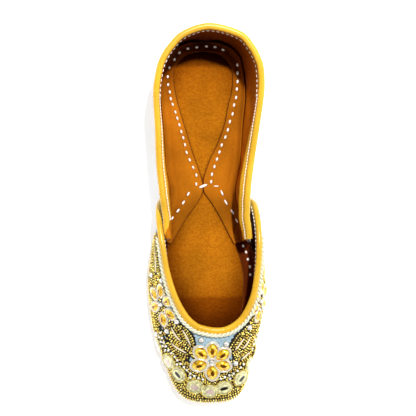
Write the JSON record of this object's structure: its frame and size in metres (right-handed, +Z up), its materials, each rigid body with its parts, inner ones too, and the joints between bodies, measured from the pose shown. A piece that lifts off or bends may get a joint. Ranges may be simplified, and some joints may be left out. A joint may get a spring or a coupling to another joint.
{
  "type": "mojari shoe",
  "caption": "Flat slip-on jutti with a low rounded-square toe, a bound throat with side wings, a bound heel quarter, turned-in lining flaps and a thin leather sole",
  "frame": {"origin": "middle of the outline, on the floor that the sole stands on", "axes": "+Z up, the toe points to -Y, the inner side of a right foot is +X"},
  "size_m": [0.0774, 0.248, 0.0593],
  "materials": {
    "sole_leather": "plain dressed sole leather",
    "lining_leather": "orange tan leather with a fine grain",
    "silk_upper": "grey blue raw silk with beadwork in antique gold and silver",
    "gold_binding": "soft mustard gold leather strip, slightly shiny",
    "cream_cord": "twisted cream cord"
  },
  "bodies": {
    "root": {"outsole": "sole_leather", "insole": "lining_leather", "vamp": "silk_upper", "quarter": "silk_upper", "collar_binding": "gold_binding", "throat_binding": "gold_binding", "throat_cord": "cream_cord", "lining_flap_medial": "lining_leather", "lining_flap_lateral": "lining_leather", "vamp_flap_medial": "lining_leather", "vamp_flap_lateral": "lining_leather"}
  },
  "joints": []
}
